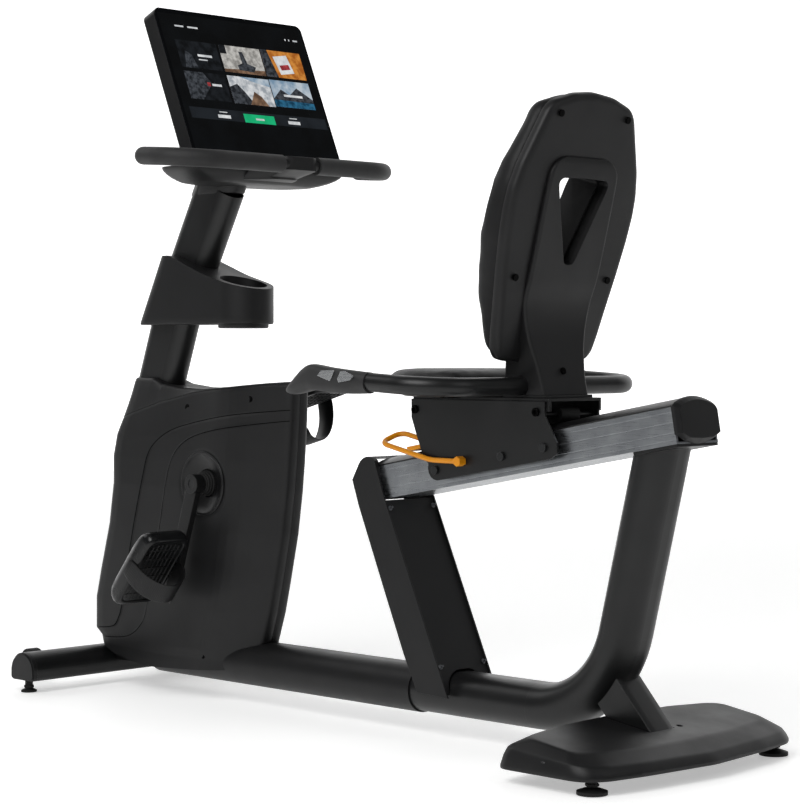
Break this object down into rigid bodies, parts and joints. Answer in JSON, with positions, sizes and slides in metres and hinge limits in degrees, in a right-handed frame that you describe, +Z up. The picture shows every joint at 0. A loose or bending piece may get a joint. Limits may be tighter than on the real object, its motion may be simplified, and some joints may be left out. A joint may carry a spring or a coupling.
{
  "type": "recumbent exercise bike",
  "caption": "Recumbent exercise bike: sliding bucket seat on an inclined alloy rail, enclosed pedal drive, mast with cup holder, console handles and tilted touch screen.",
  "frame": {"origin": "centre of the bike's plan outline, on the floor", "axes": "+X to the rider's left, +Y from the drive housing towards the seat (the rider faces -Y), +Z up"},
  "size_m": [0.5942, 1.649, 1.3538],
  "materials": {
    "black_painted_steel": "satin powder coat",
    "black_textured_plastic": "fine texture",
    "dark_plastic": "matte",
    "strap_rubber": "matte",
    "grip_foam": "soft foam",
    "rail_aluminium": "brushed anodised",
    "pulse_steel": "brushed",
    "plain_steel": "plain",
    "flywheel_steel": "machined",
    "copper_winding": "varnished",
    "black_rubber": "matte",
    "display_panel": "backlit",
    "screen_glass": "gloss",
    "cushion_vinyl": "fine grain vinyl",
    "amber_lever": "gloss coat"
  },
  "bodies": {
    "frame": {"main_frame": "black_painted_steel", "front_stabilizer": "black_painted_steel", "stabilizer_end_caps": "black_textured_plastic", "rear_cross_member": "black_painted_steel", "foot_cover": "black_textured_plastic", "pillar_post": "black_painted_steel", "pillar_cover": "black_textured_plastic", "pillar_rear_panel": "black_textured_plastic", "seat_rail": "rail_aluminium", "rail_top_strip": "dark_plastic", "rail_end_cap": "black_textured_plastic", "beam_cover": "black_textured_plastic", "housing_left": "black_textured_plastic", "housing_right": "black_textured_plastic", "top_shroud": "black_textured_plastic", "drive_frame": "black_painted_steel", "crank_bearings": "plain_steel", "crank_covers": "black_textured_plastic", "drive_belt": "black_rubber", "stator": "copper_winding", "mast": "black_painted_steel", "cup_holder": "black_textured_plastic", "console_base": "black_textured_plastic", "screen_housing": "black_textured_plastic", "display_panel": "display_panel", "screen_glass": "screen_glass", "console_handles": "black_painted_steel", "console_grips": "grip_foam", "frame_screws": "plain_steel"},
    "crank": {"crank_axle": "plain_steel", "crank_arm_left": "black_painted_steel", "crank_arm_right": "black_painted_steel", "drive_pulley": "dark_plastic"},
    "flywheel": {"flywheel": "flywheel_steel"},
    "pedal_left": {"pedal_left": "dark_plastic", "strap_left": "strap_rubber"},
    "pedal_right": {"pedal_right": "dark_plastic", "strap_right": "strap_rubber"},
    "seat": {"carriage_channel": "black_painted_steel", "carriage_plates": "black_painted_steel", "glide_pads": "plain_steel", "seat_pan": "black_textured_plastic", "seat_cushion": "cushion_vinyl", "back_post": "black_painted_steel", "seat_column": "black_textured_plastic", "back_shell": "black_textured_plastic", "back_cushion": "cushion_vinyl", "seat_handles": "black_painted_steel", "seat_grips": "grip_foam", "pulse_plates": "pulse_steel", "seat_screws": "plain_steel"},
    "lever": {"adjust_lever": "amber_lever"},
    "roller_front": {"roller_front": "black_rubber"},
    "roller_rear": {"roller_rear": "black_rubber"},
    "wheel_left": {"wheel_left": "black_rubber"},
    "wheel_right": {"wheel_right": "black_rubber"},
    "foot_front_left": {"foot_front_left": "black_rubber"},
    "foot_front_right": {"foot_front_right": "black_rubber"},
    "foot_rear_left": {"foot_rear_left": "black_rubber"},
    "foot_rear_right": {"foot_rear_right": "black_rubber"}
  },
  "joints": [
    {"name": "crank_spin", "type": "hinge", "parent": "frame", "child": "crank", "pos_m": [0, -0.3835, 0.43], "axis": [1, 0, 0], "continuous": true},
    {"name": "flywheel_spin", "type": "hinge", "parent": "frame", "child": "flywheel", "pos_m": [0, -0.5395, 0.268], "axis": [1, 0, 0], "continuous": true},
    {"name": "pedal_left_spin", "type": "hinge", "parent": "crank", "child": "pedal_left", "pos_m": [0.162, -0.43091, 0.26466], "axis": [1, 0, 0], "continuous": true},
    {"name": "pedal_right_spin", "type": "hinge", "parent": "crank", "child": "pedal_right", "pos_m": [-0.162, -0.33609, 0.59534], "axis": [1, 0, 0], "continuous": true},
    {"name": "seat_slide", "type": "slide", "parent": "frame", "child": "seat", "axis": [0, 0.9842, 0.1771], "range_m": [-0.07, 0.15]},
    {"name": "lever_lift", "type": "hinge", "parent": "seat", "child": "lever", "pos_m": [0.08, 0.3245, 0.4995], "axis": [1, 0, 0], "range_deg": [-8, 0], "stiffness_Nm_per_rad": 2, "springref_deg": 2.86},
    {"name": "roller_front_spin", "type": "hinge", "parent": "seat", "child": "roller_front", "pos_m": [0, 0.2595, 0.5432], "axis": [1, 0, 0], "continuous": true},
    {"name": "roller_rear_spin", "type": "hinge", "parent": "seat", "child": "roller_rear", "pos_m": [0, 0.4995, 0.5842], "axis": [1, 0, 0], "continuous": true},
    {"name": "wheel_left_spin", "type": "hinge", "parent": "frame", "child": "wheel_left", "pos_m": [0.181, -0.7955, 0.047], "axis": [1, 0, 0], "continuous": true},
    {"name": "wheel_right_spin", "type": "hinge", "parent": "frame", "child": "wheel_right", "pos_m": [-0.181, -0.7955, 0.047], "axis": [1, 0, 0], "continuous": true},
    {"name": "foot_front_left_level", "type": "slide", "parent": "frame", "child": "foot_front_left", "axis": [0, 0, 1], "range_m": [-0.01, 0.003]},
    {"name": "foot_front_right_level", "type": "slide", "parent": "frame", "child": "foot_front_right", "axis": [0, 0, 1], "range_m": [-0.01, 0.003]},
    {"name": "foot_rear_left_level", "type": "slide", "parent": "frame", "child": "foot_rear_left", "axis": [0, 0, 1], "range_m": [-0.01, 0.003]},
    {"name": "foot_rear_right_level", "type": "slide", "parent": "frame", "child": "foot_rear_right", "axis": [0, 0, 1], "range_m": [-0.01, 0.003]}
  ],
  "couplings": [
    {"joint": "crank_spin", "follows": "flywheel_spin", "ratio": 0.21739}
  ]
}
